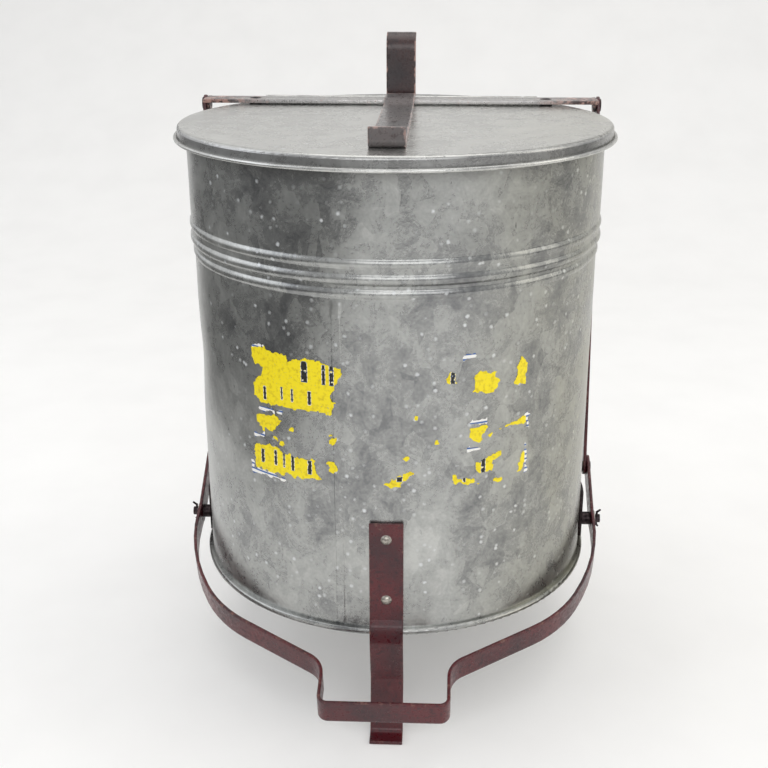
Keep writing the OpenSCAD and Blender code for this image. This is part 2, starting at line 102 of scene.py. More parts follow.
# %% [markdown]
# ## Making a mesh
# Each piece comes out of a list of points and a list of faces. One function
# turns them into an object, shades it smooth except across real corners, and
# keeps any per-point value, such as how exposed an edge is, for the material.

# %% A function that makes one piece
CORNER = math.radians(32)


def add_piece(name, points, faces, body, slot, replaced=(), values=None):
    mesh = bpy.data.meshes.new(name)
    mesh.from_pydata([tuple(p) for p in points], [], faces)
    for key, numbers in (values or {}).items():
        mesh.attributes.new(key, "FLOAT", "POINT").data.foreach_set("value", numbers)
    shaped = bmesh.new()
    shaped.from_mesh(mesh)
    bmesh.ops.recalc_face_normals(shaped, faces=shaped.faces)
    for edge in shaped.edges:
        edge.smooth = len(edge.link_faces) == 2 and edge.calc_face_angle() < CORNER
    for face in shaped.faces:
        face.smooth = True
    shaped.to_mesh(mesh)
    shaped.free()
    piece = bpy.data.objects.new(name, mesh)
    bpy.context.scene.collection.objects.link(piece)
    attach(piece, body)
    if slot:
        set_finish(piece, slot)
    if replaced:
        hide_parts(*replaced)
    return piece


# %% [markdown]
# ## The dents of the drum
# A drum that has been kicked about for years is never a true cylinder. Dents
# could be painted on with a bump map, but a real dent bends the reflections
# over a hand's width, so here the mesh itself is pushed in. A slow noise gives
# the general unevenness and a few round hollows give the knocks. Everything
# goes inwards, so the drum never grows out of its CAD size.

# %% How far the wall is pushed in at a place
KNOCKS = [  # distance round the front, height, radius and depth, in millimetres
    (-52, 66, 30, 1.1), (96, 84, 36, 1.3), (62, 346, 24, 0.8), (-120, 250, 34, 1.0),
    (10, 292, 22, 0.5), (150, 180, 44, 1.5), (-170, 120, 40, 1.4), (215, 300, 36, 1.2),
    (-240, 200, 46, 1.6), (330, 90, 42, 1.4), (-380, 260, 50, 1.6), (450, 190, 44, 1.5),
    (520, 330, 30, 0.9), (-30, 366, 20, 0.5), (-88, 342, 18, 0.5),
]
AROUND = 2 * math.pi * CAN_R
ROLLING = 70.0


def wall_push(angle, z):
    """Millimetres inwards. The angle is counted from the front, to the right."""
    x, y = math.sin(angle) * CAN_R, -math.cos(angle) * CAN_R
    slow = noise.noise(Vector((x / ROLLING, y / ROLLING, z / ROLLING)))
    fine = noise.noise(Vector((x / 22, y / 22, z / 26 + 40)))
    push = 0.42 + 0.42 * slow + 0.10 * fine
    for along, height, radius, depth in KNOCKS:
        gap = (angle * CAN_R - along + AROUND / 2) % AROUND - AROUND / 2
        far = (gap * gap + (z - height) ** 2) / radius ** 2
        if far < 4:
            push += depth * math.exp(-2.2 * far)
    ends = min(1.0, z / 25, (CAN_H - z) / 25)
    return max(0.0, push) * max(0.0, ends)


# %% [markdown]
# ## The drum's wall
# The real wall is one sheet: rolled up, locked down one seam and run through
# beading rolls that raise three ribs where the upper part steps outwards. A
# lathe-like revolve fits that, because every level is a circle. The rows sit
# close together on the ribs, where the outline turns, and wider apart between
# them. The lock seam is a strip that stands half a millimetre proud.

# %% The wall's outline and its rows
STEP_Z = 307.0
UPPER_R = 178.8
RIBS = [(295.0, 1.3, 3.6, CAN_R), (307.0, 3.1, 5.0, CAN_R), (319.0, 1.3, 3.6, UPPER_R)]
SEAM_ANGLE = math.radians(-12.6)
SEAM_HALF = 3.5
SEAM_TOP = 288.0


def wall_radius(z):
    radius = CAN_R if z < STEP_Z else UPPER_R
    for middle, out, half, base in RIBS:
        if abs(z - middle) < half:
            rho = (half * half + out * out) / (2 * out)
            rise = base + out - rho + math.sqrt(rho * rho - (z - middle) ** 2)
            radius = max(radius, rise)
    return radius


heights = [z for z in np.arange(0, 286, 5.5)]
heights += [z for z in np.arange(288, 327, 0.65)]
heights += [z for z in np.arange(330, CAN_H - 1, 5.5)] + [CAN_H]
turns = [2 * math.pi * i / 300 for i in range(300)]
for side in (-1.05, -0.9, 0.9, 1.05):
    turns.append((SEAM_ANGLE + side * SEAM_HALF / CAN_R) % (2 * math.pi))
turns = sorted(turns)
rows = [(z, 0.0) for z in heights] + [(z, SHEET) for z in reversed(heights)]

wall_points = []
for z, depth in rows:
    for turn in turns:
        signed = (turn + math.pi) % (2 * math.pi) - math.pi
        radius = wall_radius(z) - depth - wall_push(signed, z)
        on_seam = abs(signed - SEAM_ANGLE) * CAN_R < SEAM_HALF and 7 < z < SEAM_TOP
        radius += 0.5 if on_seam and depth == 0 else 0.0
        wall_points.append(place(math.sin(signed) * radius, -math.cos(signed) * radius, z))
count = len(turns)
wall_faces = []
for row in range(len(rows)):
    below, above = row * count, ((row + 1) % len(rows)) * count
    for i in range(count):
        j = (i + 1) % count
        wall_faces.append((below + i, below + j, above + j, above + i))
add_piece("drum_wall", wall_points, wall_faces, "can", "galvanised_sheet", ["body_wall"])
print("drum wall: %d rows of %d points" % (len(rows), count))

# %% [markdown]
# ## Bent flat bar
# The legs, the hoop, the lid strap and the stop are all flat bar bent in a
# vice. A path of straight runs and arcs describes each one, just as a bending
# list does, and a section is carried along it. Rolled bar has slightly round
# edges, and those edges are where paint wears first, so every point keeps a
# value that says how near to an edge it lies.

# %% Walking a bending list
def walk(start, moves, arc_step=5.0, run_step=9.0):
    """Points (u, v, heading) along straights [length, 0] and arcs [radius, turn]."""
    u, v, heading = start
    path = [(u, v, heading)]
    for size, turn in moves:
        steps = max(1, math.ceil(abs(turn) / arc_step if turn else size / run_step))
        for _ in range(steps):
            if turn:
                side = 1 if turn > 0 else -1
                new = heading + turn / steps
                u += side * size * (math.sin(math.radians(new)) - math.sin(math.radians(heading)))
                v -= side * size * (math.cos(math.radians(new)) - math.cos(math.radians(heading)))
                heading = new
            else:
                u += size / steps * math.cos(math.radians(heading))
                v += size / steps * math.sin(math.radians(heading))
            path.append((u, v, heading))
    return path


# %% The section of a flat bar
EDGE_R = 0.6


def bar_section(width, thick):
    """Points (across the width, through the thickness) with the edge value of each."""
    half = width / 2
    ring = []
    for corner_w, corner_t, first in ((half, thick, 0), (-half, thick, 90),
                                      (-half, 0, 180), (half, 0, 270)):
        mid_w = corner_w - math.copysign(EDGE_R, corner_w)
        mid_t = corner_t - EDGE_R if corner_t else EDGE_R
        for angle in (first, first + 45, first + 90):
            turn = math.radians(angle)
            ring.append((mid_w + EDGE_R * math.cos(turn), mid_t + EDGE_R * math.sin(turn), 1.0))
        sign = -1 if first in (0, 90) else 1
        if first in (0, 180):
            level = corner_t
            for share in (0.5 - 2.2 / width, 0.25, 0.0, -0.25, 2.2 / width - 0.5):
                ring.append((-sign * share * width, level, 0.25 if abs(share) > 0.3 else 0.0))
    return ring


def bar_mesh(path, width, thick, to_place, side=1):
    """Points, faces and edge values of a bar to the left (1) or right (-1) of the path."""
    ring = bar_section(width, thick)
    points, faces, worn = [], [], []
    stations = [path[0]] + path + [path[-1]]
    for k, (u, v, heading) in enumerate(stations):
        cap = k in (0, len(stations) - 1)
        inset = EDGE_R * 0.7 if cap else 0.0
        near_end = k in (1, len(stations) - 2)
        away = EDGE_R * 0.7 * (1 if k == 1 else -1) if near_end else 0.0
        dir_u, dir_v = math.cos(math.radians(heading)), math.sin(math.radians(heading))
        for w, t, edge in ring:
            w -= math.copysign(min(inset, abs(w)), w)
            t += (inset if t < thick / 2 else -inset)
            points.append(to_place(u - side * t * dir_v + away * dir_u,
                                   v + side * t * dir_u + away * dir_v, w))
            worn.append(1.0 if cap or near_end else edge)
    size = len(ring)
    for k in range(len(stations) - 1):
        for i in range(size):
            j = (i + 1) % size
            faces.append((k * size + i, k * size + j, (k + 1) * size + j, (k + 1) * size + i))
    faces.append(tuple(range(size)))
    faces.append(tuple((len(stations) - 1) * size + i for i in range(size)))
    return points, faces, worn


# %% [markdown]
# ## The three legs
# Each leg lies flat on the wall under two rivets, steps out over the rolled
# rim, is tucked in below it, comes out again at a knee and ends in a small flat
# foot. The two slanted runs are equal, so their length follows from the height
# that is left. Three copies, a third of a turn apart, make the stand.

# %% Bending the legs
LEG_W, LEG_T = 28.0, 3.2
LEG_RISE = 104.0
RIM_H = 5.5
RIM_CLEAR = 1.5
LEG_H = RIM_Z / MM
JOG, JOG_TURN, JOG_R = 4.3, 40.0, 4.0
TUCK, TUCK_R, FOOT_R, FOOT_LEN = 14.0, 12.0, 8.0, 10.0


def sin(angle):
    return math.sin(math.radians(angle))


def cos(angle):
    return math.cos(math.radians(angle))


jog_run = JOG - 2 * JOG_R * (1 - cos(JOG_TURN))
jog_drop = 2 * JOG_R * sin(JOG_TURN) + jog_run * cos(JOG_TURN) / sin(JOG_TURN)
over_rim = RIM_H + RIM_CLEAR + 7
shin = (LEG_H + RIM_H + RIM_CLEAR - over_rim - 2 * TUCK_R * sin(TUCK)
        - FOOT_R * (1 - sin(TUCK))) / (2 * cos(TUCK))
leg_path = walk((CAN_R, LEG_RISE, -90), [
    (LEG_RISE - RIM_H - RIM_CLEAR - jog_drop, 0),
    (JOG_R, JOG_TURN), (jog_run / sin(JOG_TURN), 0), (JOG_R, -JOG_TURN),
    (over_rim - TUCK_R * sin(TUCK), 0), (TUCK_R, -TUCK), (shin, 0),
    (TUCK_R, 2 * TUCK), (shin, 0), (FOOT_R, 90 - TUCK), (FOOT_LEN, 0)])
for leg_name, turn in (("front_leg", 0), ("rear_leg_left", -120), ("rear_leg_right", 120)):
    def on_leg(u, v, w, turn=turn):
        return place(u * sin(turn) + w * cos(turn), -u * cos(turn) + w * sin(turn), v)

    points, faces, worn = bar_mesh(leg_path, LEG_W, LEG_T, on_leg)
    add_piece(leg_name + "_bar", points, faces, "can", "red_enamel", [leg_name], {"edge": worn})
print("leg: %.0f mm of bar" % sum(
    math.dist(a[:2], b[:2]) for a, b in zip(leg_path, leg_path[1:])))

# %% [markdown]
# ## The foot hoop
# The pedal is one long bar on edge: back along each side of the can to the
# pivots, in along a wide curve to a short neck, and straight across the front
# where the boot goes. It slopes down to the front, so its flat bending plan is
# turned about the pivots. Behind each pivot a short arm with round eyes goes up
# to the link.

# %% Bending the hoop
PIVOT = (0.0, 20.0)
CRANK = (50.0, 52.0)
TILT = 13.5
HOOP_W, HOOP_T, HOOP_OUT = 22.0, 2.8, 191.7
REACH, PEDAL_W = 243.0, 108.0
SIDE_RUN, SIDE_R, SIDE_TURN = 14.0, 205.0, 29.3
FLANK_R, SLANT_TURN = 116.0, 58.5
NECK_R, PEDAL_R = 22.0, 9.0
slant = (HOOP_OUT - PEDAL_W / 2 - SIDE_R * (1 - cos(SIDE_TURN))
         - FLANK_R * (cos(SIDE_TURN) - cos(SLANT_TURN))
         - NECK_R * (1 - cos(SLANT_TURN))) / sin(SLANT_TURN)
neck = (REACH - SIDE_RUN - SIDE_R * sin(SIDE_TURN)
        - FLANK_R * (sin(SLANT_TURN) - sin(SIDE_TURN))
        - slant * cos(SLANT_TURN) - NECK_R * sin(SLANT_TURN) - PEDAL_R)
half = [(SIDE_RUN, 0), (SIDE_R, -SIDE_TURN), (FLANK_R, SIDE_TURN - SLANT_TURN),
        (slant, 0), (NECK_R, SLANT_TURN), (neck, 0), (PEDAL_R, -90)]
hoop_path = walk((HOOP_OUT, 0, -90), half + [(PEDAL_W - 2 * PEDAL_R, 0)] + half[::-1])


def on_hoop(u, v, w):
    return place(u, v * cos(TILT) - w * sin(TILT), PIVOT[1] + v * sin(TILT) + w * cos(TILT))


points, faces, worn = bar_mesh(hoop_path, HOOP_W, HOOP_T, on_hoop, side=-1)
add_piece("foot_hoop_bar", points, faces, "foot_lever", "red_enamel", ["foot_hoop"],
          {"edge": worn})
print("hoop: %.0f mm of bar" % sum(
    math.dist(a[:2], b[:2]) for a, b in zip(hoop_path, hoop_path[1:])))

# %% [markdown]
# ## Flat plates with round eyes
# The hoop's rear arms and the two lift links are straight bars with a round eye
# at each end. Their outline is a stadium, so two half circles are enough. Three
# rings on each side, drawn in a little at the faces, round the edges as sheared
# and filed bar is rounded.

# %% The rear arms and the links
LINK_W, LINK_T, LINK_OUT = 16.0, 3.0, 188.5
HINGE = (124.0, 402.8)
EAR_REACH, EAR_ANGLE = 9, 30
EAR = (HINGE[0] - EAR_REACH * cos(EAR_ANGLE), HINGE[1] - EAR_REACH * sin(EAR_ANGLE))
ARM_EYE_R = 11.6
ARM_FACES = (188.85, 191.75)
FLAT_INSET = 3.2


def eye_bar(name, a, b, radius, x_in, x_out, body, replaced=()):
    """A bar from eye a to eye b, as (y, z) in the side view, between two faces."""
    along = math.atan2(b[1] - a[1], b[0] - a[0])
    outline = []
    for centre, first in ((b, along - math.pi / 2), (a, along + math.pi / 2)):
        for k in range(19):
            turn = first + math.pi * k / 18
            outline.append((centre, math.cos(turn), math.sin(turn)))
    levels = [(x_in, EDGE_R), (x_in + EDGE_R * 0.3, EDGE_R * 0.3), (x_in + EDGE_R, 0.0),
              (x_out - EDGE_R, 0.0), (x_out - EDGE_R * 0.3, EDGE_R * 0.3), (x_out, EDGE_R)]
    points, faces, worn = [], [], []
    for x, drawn in levels:
        for centre, c, s in outline:
            points.append(place(x, centre[0] + c * (radius - drawn),
                                centre[1] + s * (radius - drawn)))
            worn.append(0.9)
    size = len(outline)
    for x, start in ((x_in, 0), (x_out, (len(levels) - 1) * size)):
        inner = len(points)
        for centre, c, s in outline:
            points.append(place(x, centre[0] + c * (radius - FLAT_INSET),
                                centre[1] + s * (radius - FLAT_INSET)))
            worn.append(0.0)
        for i in range(size):
            j = (i + 1) % size
            faces.append((start + i, start + j, inner + j, inner + i))
        faces.append(tuple(inner + i for i in range(size)))
    for k in range(len(levels) - 1):
        for i in range(size):
            j = (i + 1) % size
            faces.append((k * size + i, k * size + j, (k + 1) * size + j, (k + 1) * size + i))
    return add_piece(name, points, faces, body, "red_enamel", replaced, {"edge": worn})


for side_name, sign in (("left", -1), ("right", 1)):
    hoop_faces_x = sorted(sign * x for x in ARM_FACES)
    eye_bar("crank_arm_" + side_name, PIVOT, CRANK, ARM_EYE_R, *hoop_faces_x, "foot_lever",
            ["foot_hoop"])
    link_faces_x = sorted((sign * (LINK_OUT - LINK_T), sign * LINK_OUT))
    eye_bar("link_bar_" + side_name, CRANK, EAR, LINK_W / 2, *link_faces_x,
            "link_" + side_name, ["lift_link_" + side_name])
print("link length between eyes: %.1f mm" % math.dist(CRANK, EAR))

# %% [markdown]
# ## The lid strap and the stop
# The strap riveted along the lid turns up at the front into a finger lip and
# steps over the crossbar at the back. The stop is a separate upright behind the
# hinge: the raised lid strap comes to rest against it. Its top is curled back so
# that no sharp end faces the user.

# %% Bending the lid strap and the stop
LID_TOP = CAN_H + 0.3 + SHEET
LEAF = 1.5
BAR_TOP = LID_TOP + LEAF + LEG_T
LIP_Y, LIP_H, LIP_R = 154.0, 16.0, 3.0
BARREL_R, CROSS_GAP, CROSS_W = 2.6, 1.7, 28.0
CROSS_BACK = HINGE[0] - BARREL_R - CROSS_GAP
CROSS_FRONT = CROSS_BACK - CROSS_W
CLIMB_TURN, CLIMB_R, CLIMB_GAP = 18.0, 6.0, 3.0
climb_run = (BAR_TOP - LID_TOP - 2 * CLIMB_R * (1 - cos(CLIMB_TURN))) / sin(CLIMB_TURN)
climb_len = climb_run * cos(CLIMB_TURN) + 2 * CLIMB_R * sin(CLIMB_TURN)
lid_strap_path = walk((-LIP_Y, LID_TOP + LIP_H, -90), [
    (LIP_H - LIP_R - LEG_T, 0), (LIP_R + LEG_T, 90),
    (LIP_Y + CROSS_FRONT - CLIMB_GAP - climb_len - LIP_R - LEG_T, 0),
    (CLIMB_R, CLIMB_TURN), (climb_run, 0), (CLIMB_R, -CLIMB_TURN), (CROSS_W + CLIMB_GAP, 0)])


def on_side(u, v, w):
    return place(w, u, v)


points, faces, worn = bar_mesh(lid_strap_path, LEG_W, LEG_T, on_side)
add_piece("lid_strap_bar", points, faces, "lid", "dark_enamel", ["lid_strap"],
          {"edge": worn, "rub": [0.3] * len(worn)})

STOP_Y, STOP_H, STOP_FLANGE = 131.6, 58.0, 18.0
STOP_BEND, STOP_CURL_R, STOP_CURL = 4.0, 12.0, 115.0
stop_base = CAN_H + SHEET + LEAF
stop_path = walk((STOP_Y + STOP_FLANGE, stop_base + LEG_T, 180), [
    (STOP_FLANGE - STOP_BEND, 0), (STOP_BEND, -90),
    (STOP_H - STOP_BEND - STOP_CURL_R - LEG_T, 0), (STOP_CURL_R, -STOP_CURL)])
points, faces, worn = bar_mesh(stop_path, LEG_W, LEG_T, on_side)
add_piece("lid_stop_bar", points, faces, "can", "dark_enamel", ["lid_stop"], {"edge": worn})
print("lid strap ends at y %.1f mm, the stop stands %.0f mm high" % (CROSS_BACK, STOP_H))

# %% [markdown]
# ## Softening the small turned and cut parts
# Rivets, washers, hinge leaves and the crossbar have the right shape already in
# CAD, but their edges there are perfectly sharp. A real edge is always broken a
# little, and that thin line of light is what makes metal look like metal. So
# the flat-sided ones are copied, welded and bevelled by a fraction of a
# millimetre. The bevel's own faces are marked as worn.

# %% A bevelled copy of a CAD part
def softened(node, body, slot, width):
    source = frame["nodes"][node].data
    shaped = bmesh.new()
    shaped.from_mesh(source)
    bmesh.ops.remove_doubles(shaped, verts=shaped.verts, dist=2e-6)
    bmesh.ops.dissolve_limit(shaped, angle_limit=math.radians(1), verts=shaped.verts,
                             edges=shaped.edges)
    sharp = [e for e in shaped.edges
             if len(e.link_faces) == 2 and e.calc_face_angle() > math.radians(40)]
    before = set(shaped.faces)
    bmesh.ops.bevel(shaped, geom=sharp, offset=width * MM, segments=2, affect="EDGES",
                    profile=0.5, clamp_overlap=True)
    worn = shaped.faces.layers.float.new("edge")
    rubbed = shaped.faces.layers.float.new("rub")
    for face in shaped.faces:
        face.smooth = True
        face[worn] = 0.0 if face in before else 0.9
        face[rubbed] = 1.0 if node == "lift_crossbar" else 0.0
    bmesh.ops.triangulate(shaped, faces=[f for f in shaped.faces if len(f.verts) > 4])
    for edge in shaped.edges:
        edge.smooth = len(edge.link_faces) == 2 and edge.calc_face_angle() < CORNER
    mesh = bpy.data.meshes.new(node + "_soft")
    shaped.to_mesh(mesh)
    shaped.free()
    piece = bpy.data.objects.new(node + "_soft", mesh)
    bpy.context.scene.collection.objects.link(piece)
    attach(piece, body)
    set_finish(piece, slot)
    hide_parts(node)
    return piece


SOFTENED = [  # node, body, slot, bevel in millimetres
    ("lift_crossbar", "lid", "dark_enamel", 0.5),
    ("hinge_body_leaf", "can", "galvanised_lid", 0.25),
    ("hinge_lid_leaf", "lid", "galvanised_lid", 0.25),
    ("pivot_bracket_left", "can", "black_steel", 0.5),
    ("pivot_bracket_right", "can", "black_steel", 0.5),
    ("pivot_washers", "can", "rivet_steel", 0.2),
]
for node, body, slot, width in SOFTENED:
    made = softened(node, body, slot, width)
    print("softened %s: %d faces" % (node, len(made.data.polygons)))

# %% [markdown]
# ## What is left of the paper label
# One wide yellow label was once pasted round the front. Most of it has torn
# away, so ragged scraps are left. A scrap is drawn as a rough outline in
# millimetres, a noise eats into that outline, and only the cells of a fine grid
# that lie inside are kept. Their rims are then pulled onto the true edge. The
# print is worn to plain dark bars and there is no lettering on it.

# %% The scraps, as outlines (distance round the front, height) in millimetres
YELLOW = [
    [(-120, 240), (-105, 243), (-95, 240), (-82, 241), (-80, 236), (-69, 240), (-54, 239),
     (-35, 235), (-35, 227), (-39, 222), (-40, 216), (-44, 211), (-41, 206), (-44, 195),
     (-53, 196), (-75, 195), (-111, 194), (-119, 200), (-117, 212), (-111, 217), (-107, 225),
     (-116, 227), (-120, 232)],
    [(-118, 183), (-94, 186), (-89, 182), (-99, 171), (-110, 170), (-117, 176)],
    [(-119, 156), (-97, 159), (-88, 155), (-72, 154), (-59, 154), (-58, 143), (-51, 137),
     (-75, 135), (-103, 134), (-119, 134), (-121, 144)],
    [(-2, 139), (9, 145), (19, 150), (22, 149), (20, 143), (13, 140), (13, 135), (-1, 135)],
    [(45, 225), (50, 232), (55, 231), (56, 222), (46, 222)],
    [(67, 212), (71, 219), (70, 227), (76, 231), (90, 228), (93, 220), (90, 211), (78, 211)],
    [(107, 214), (108, 221), (114, 237), (121, 229), (120, 222), (120, 211), (107, 212)],
    [(66, 184), (81, 184), (84, 182), (79, 175), (78, 169), (68, 171)],
    [(92, 179), (104, 181), (123, 184), (123, 176), (112, 177), (95, 177)],
    [(54, 144), (55, 135), (77, 133), (73, 138), (60, 141)],
    [(73, 146), (74, 152), (82, 155), (98, 160), (97, 154), (90, 151), (89, 141), (79, 142)],
    [(89, 135), (101, 135), (99, 131), (90, 132)],
    [(113, 134), (116, 147), (120, 154), (123, 148), (120, 133)],
]
WHITE = [
    [(-117, 189), (-106, 192), (-88, 192), (-88, 188), (-117, 185)],
    [(-119, 166), (-104, 168), (-104, 164), (-119, 162)],
    [(57, 244), (71, 246), (72, 241), (56, 241)],
    [(67, 189), (83, 190), (83, 185), (67, 186)],
    [(120, 186), (125, 187), (126, 172), (122, 172)],
    [(121, 161), (123, 161), (125, 131), (121, 132)],
    [(65, 166), (78, 166), (79, 162), (65, 162)],
    [(-119, 242), (-105, 245), (-105, 242), (-119, 239)],
    [(-123, 133), (-103, 134), (-85, 132), (-85, 129), (-124, 128)],
    [(-125, 139), (-121, 139), (-121, 130), (-125, 130)],
]
DOTS = [(-43, 174, 4.2), (-44, 150, 5.0), (-80, 177, 2.2), (17, 160, 2.8), (24, 196, 2.2),
        (40, 174, 3.0), (66, 239, 2.2), (86, 174, 2.4), (-90, 164, 3.3), (-95, 166, 2.6)]
BARS = [  # left, right, bottom, top
    (-69, -64, 220, 237), (-51, -48, 220, 236), (-45, -41, 220, 236), (-107, -104, 198, 209),
    (-89, -87, 201, 212), (-79, -77, 201, 212), (-64, -61, 201, 213), (-112, -109, 141, 153),
    (-98, -95, 142, 155), (-89, -87, 142, 156), (-81, -78, 141, 156), (-65, -62, 141, 153),
    (51, 54, 222, 232), (79, 82, 142, 155), (8, 13, 141, 145), (62, 65, 136, 143),
]
CELL = 0.9


def inside(outline, s, z):
    """Distance in millimetres to the outline, positive inside it."""
    least, odd = 1e9, False
    for (s0, z0), (s1, z1) in zip(outline, outline[1:] + outline[:1]):
        ds, dz = s1 - s0, z1 - z0
        share = max(0.0, min(1.0, ((s - s0) * ds + (z - z0) * dz) / (ds * ds + dz * dz)))
        least = min(least, math.hypot(s - s0 - share * ds, z - z0 - share * dz))
        if (z0 > z) != (z1 > z) and s < s0 + (z - z0) / dz * ds:
            odd = not odd
    return least if odd else -least


SHAPES = [(o, 0) for o in YELLOW] + [(o, 1) for o in WHITE]
BOUNDS = [(min(s for s, _ in o) - 3, max(s for s, _ in o) + 3,
           min(z for _, z in o) - 3, max(z for _, z in o) + 3) for o, _ in SHAPES]


def scrap(s, z):
    """How far inside a scrap the place is, in millimetres, and its ink."""
    best, ink = -9.0, 0
    for (outline, kind), (s0, s1, z0, z1) in zip(SHAPES, BOUNDS):
        if s0 < s < s1 and z0 < z < z1:
            deep = inside(outline, s, z)
            if deep > best:
                best, ink = deep, kind
    for s0, z0, radius in DOTS:
        deep = radius - math.hypot(s - s0, z - z0)
        if deep > best:
            best, ink = deep, 0
    if best < -4:
        return best, ink
    torn = noise.noise(Vector((s / 4.2, z / 4.2, 1.3))) * 2.2
    torn += noise.noise(Vector((s / 1.9, z / 1.9, 5.1))) * 1.1
    flaked = noise.noise(Vector((s / 8.0, z / 8.0, 9.4)))
    return best + torn - 0.4 - 9 * max(0.0, flaked - 0.33), ink


# %% Cutting the scraps out of a fine grid
columns = np.arange(-128, 129, CELL)
levels = np.arange(126, 249, CELL)
depth = {}
for i, s in enumerate(columns):
    for k, z in enumerate(levels):
        depth[i, k] = scrap(float(s), float(z))
kept = [(i, k) for i in range(len(columns) - 1) for k in range(len(levels) - 1)
        if sum(depth[c][0] for c in ((i, k), (i + 1, k), (i + 1, k + 1), (i, k + 1))) > 0]
index, points, ink, flat_faces = {}, [], [], []
PAPER = 0.12
for i, k in kept:
    corners = []
    for a, b in ((i, k), (i + 1, k), (i + 1, k + 1), (i, k + 1)):
        if (a, b) not in index:
            s, z = float(columns[a]), float(levels[b])
            deep, kind = depth[a, b]
            if abs(deep) < 1.2:
                here = depth[a, b]
                right = depth.get((a + 1, b), here)[0] - depth.get((a - 1, b), here)[0]
                up = depth.get((a, b + 1), here)[0] - depth.get((a, b - 1), here)[0]
                steep = math.hypot(right, up)
                if steep > 0.4 and deep < 0.5:
                    pull = max(-0.45, min(0.45, -deep / steep))
                    s += pull * right / steep * CELL
                    z += pull * up / steep * CELL
            index[a, b] = len(points)
            turn = s / CAN_R
            radius = CAN_R + PAPER - wall_push(turn, z) + (
                0.5 if abs(s - SEAM_ANGLE * CAN_R) < SEAM_HALF + 1 else 0.0)
            lift = max(0.0, noise.noise(Vector((s / 9, z / 9, 20)))) * max(0.0, 1.6 - max(deep, 0))
            radius += 0.25 * lift
            points.append(place(math.sin(turn) * radius, -math.cos(turn) * radius, z))
            rubbed = noise.noise(Vector((s / 2.2, z / 2.2, 31)))
            in_bar = any(s0 <= s <= s1 and z0 <= z <= z1 for s0, s1, z0, z1 in BARS)
            ink.append(2.0 if in_bar and rubbed < 0.42 else float(kind))
        corners.append(index[a, b])
    flat_faces.append(tuple(corners))
add_piece("label_scraps", points, flat_faces, "can", None, (), {"ink": ink})
print("label scraps: %d cells of %.1f mm" % (len(flat_faces), CELL))

# %% [markdown]
# ## Colours and nodes
# Colours are written as the hex values that a paint chart gives, which are
# sRGB. Shaders work in linear light, so one function converts them.
# One more adds a node, sets it and wires it up, and another mixes two colours
# by a mask. Every material below is made with them.

# %% Helpers for materials
def srgb(code):
    values = [int(code[i:i + 2], 16) / 255 for i in (0, 2, 4)]
    return tuple(v / 12.92 if v < 0.04045 else ((v + 0.055) / 1.055) ** 2.4
                 for v in values) + (1.0,)


def add_node(tree, kind, settings=None, **links):
    """Adds a node. A link's key is a socket name with _ for a space, or in_0, in_1."""
    node = tree.nodes.new("ShaderNode" + kind)
    for key, value in (settings or {}).items():
        if key == "stops":
            ramp = node.color_ramp
            while len(ramp.elements) < len(value):
                ramp.elements.new(0.5)
            for element, (at, colour) in zip(ramp.elements, value):
                element.position = at
                element.color = colour
        elif hasattr(node, key):
            setattr(node, key, value)
        else:
            node.inputs[key].default_value = value
    for key, source in links.items():
        name = int(key[3:]) if key.startswith("in_") else key.replace("_", " ")
        if hasattr(source, "type") and hasattr(source, "links"):
            tree.links.new(source, node.inputs[name])
        else:
            node.inputs[name].default_value = source
    return node


def mix_colour(tree, mask, first, second, blend="MIX"):
    """Goes from the first colour to the second with the mask; either may be a socket."""
    return add_node(tree, "Mix", {"data_type": "RGBA", "blend_type": blend},
                    in_0=mask, in_6=first, in_7=second)


def new_material(name):
    made = bpy.data.materials.new(name)
    made.use_nodes = True
    made.node_tree.nodes.clear()
    return made, made.node_tree


def finish_material(tree, shader):
    out = tree.nodes.new("ShaderNodeOutputMaterial")
    tree.links.new(shader.outputs[0], out.inputs["Surface"])


PER_MM = 1 / MM
print("helpers ready")

# %% [markdown]
# ## Galvanised sheet, weathered
# Hot-dip zinc starts as bright crystals and turns grey within a year. What the
# eye reads on an old drum is a cloudy grey of several sizes: broad clouds a hand
# wide, patches the size of a thumb where crystals were, fine grain from the
# weather, white corrosion specks and dark scuffs. The metal stays a metal, so
# the base colour is its reflectance, and roughness changes along with colour.

